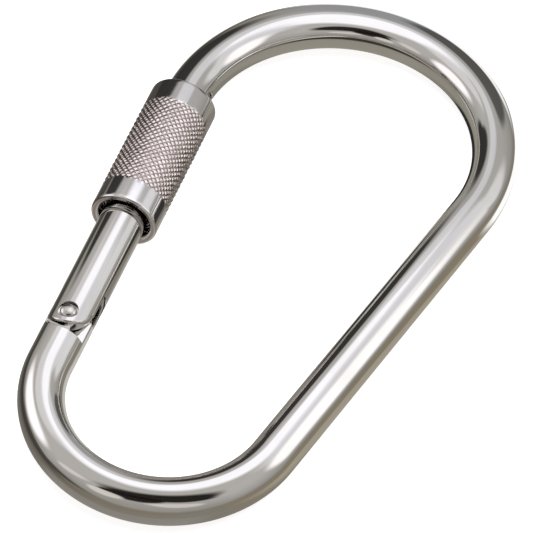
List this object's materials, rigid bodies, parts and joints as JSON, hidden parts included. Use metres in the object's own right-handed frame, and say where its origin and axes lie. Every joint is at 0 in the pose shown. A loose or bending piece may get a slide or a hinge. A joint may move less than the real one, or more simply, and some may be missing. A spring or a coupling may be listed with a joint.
{
  "type": "screw-lock carabiner",
  "caption": "Pear-shaped round-bar steel carabiner with a sprung hinged gate and a knurled sleeve that screws along the gate to lock it.",
  "frame": {"origin": "centre of the bounding box, at the lowest point of the lock sleeve", "axes": "+Y along the gate from its hinge to the nose, +X from the gate towards the spine, +Z square to the plane of the bar"},
  "size_m": [0.0661, 0.12, 0.0123],
  "materials": {
    "polished_bar": "polished",
    "polished_gate": "polished",
    "knurled_steel": "satin knurl with polished collars",
    "rivet_steel": "polished, worn",
    "ring_steel": "bright wire",
    "spring_steel": "bright wire",
    "plunger_brass": "turned",
    "pin_steel": "ground"
  },
  "bodies": {
    "frame_body": {"frame": "polished_bar"},
    "gate_body": {"gate": "polished_gate", "hinge_rivet": "rivet_steel", "latch_pin": "pin_steel", "gate_spring": "spring_steel"},
    "plunger_body": {"spring_plunger": "plunger_brass"},
    "ring_body": {"friction_ring": "ring_steel"},
    "sleeve_body": {"lock_sleeve": "knurled_steel"}
  },
  "joints": [
    {"name": "gate_swing", "type": "hinge", "parent": "frame_body", "child": "gate_body", "pos_m": [-0.02722, -0.02625, 0.00615], "axis": [0, 0, -1], "range_deg": [0, 30], "stiffness_Nm_per_rad": 0.12, "springref_deg": -20.05, "deforming": ["gate_spring"]},
    {"name": "plunger_travel", "type": "slide", "parent": "gate_body", "child": "plunger_body", "axis": [0, 1, 0], "range_m": [0, 0.0014]},
    {"name": "sleeve_travel", "type": "slide", "parent": "gate_body", "child": "ring_body", "axis": [0, -1, 0], "range_m": [0, 0.01]},
    {"name": "sleeve_turn", "type": "hinge", "parent": "ring_body", "child": "sleeve_body", "pos_m": [-0.02693, 0.0127, 0.00615], "axis": [0, -1, 0], "range_deg": [0, 2401]}
  ],
  "couplings": [
    {"joint": "plunger_travel", "follows": "gate_swing", "m_per_rad": 0.002578},
    {"joint": "sleeve_turn", "follows": "sleeve_travel", "rad_per_m": 4188.8}
  ]
}
